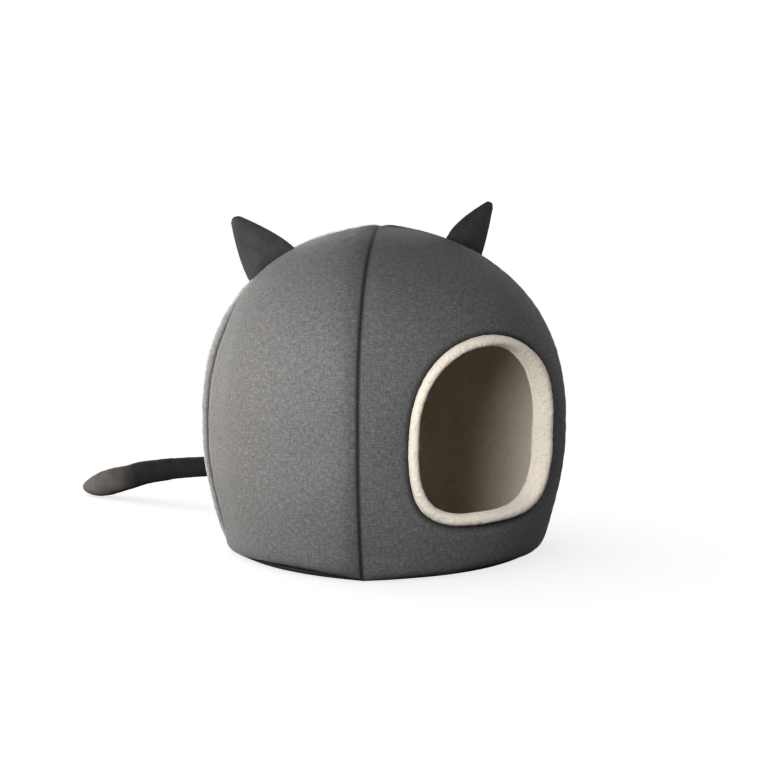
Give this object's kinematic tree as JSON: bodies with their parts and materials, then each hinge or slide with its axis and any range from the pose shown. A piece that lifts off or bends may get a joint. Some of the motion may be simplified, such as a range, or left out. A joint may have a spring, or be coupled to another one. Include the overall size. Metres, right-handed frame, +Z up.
{
  "type": "pet cave bed",
  "caption": "Covered cave bed for a small pet, a dome of padded felt gores with a round fleece-edged doorway, stuffed ears and a stuffed tail.",
  "frame": {"origin": "on the floor, in the middle of the base, under the dome's axis", "axes": "+Z up; the doorway faces -Y; the tail runs out behind toward +Y; +X is to the right when seen from the doorway side"},
  "size_m": [0.3819, 0.6654, 0.3885],
  "materials": {
    "felt_charcoal": "matte heathered felt",
    "felt_dark": "matte dark felt",
    "fleece_cream": "short cream fleece",
    "base_cloth": "matte dark woven cloth"
  },
  "bodies": {
    "root": {"wall_front": "felt_charcoal", "wall_left": "felt_charcoal", "wall_right": "felt_charcoal", "wall_back": "felt_charcoal", "lining_front": "fleece_cream", "lining_left": "fleece_cream", "lining_right": "fleece_cream", "lining_back": "fleece_cream", "door_rim": "fleece_cream", "base": "base_cloth", "ear_left": "felt_dark", "ear_right": "felt_dark", "tail": "felt_dark"}
  },
  "joints": []
}
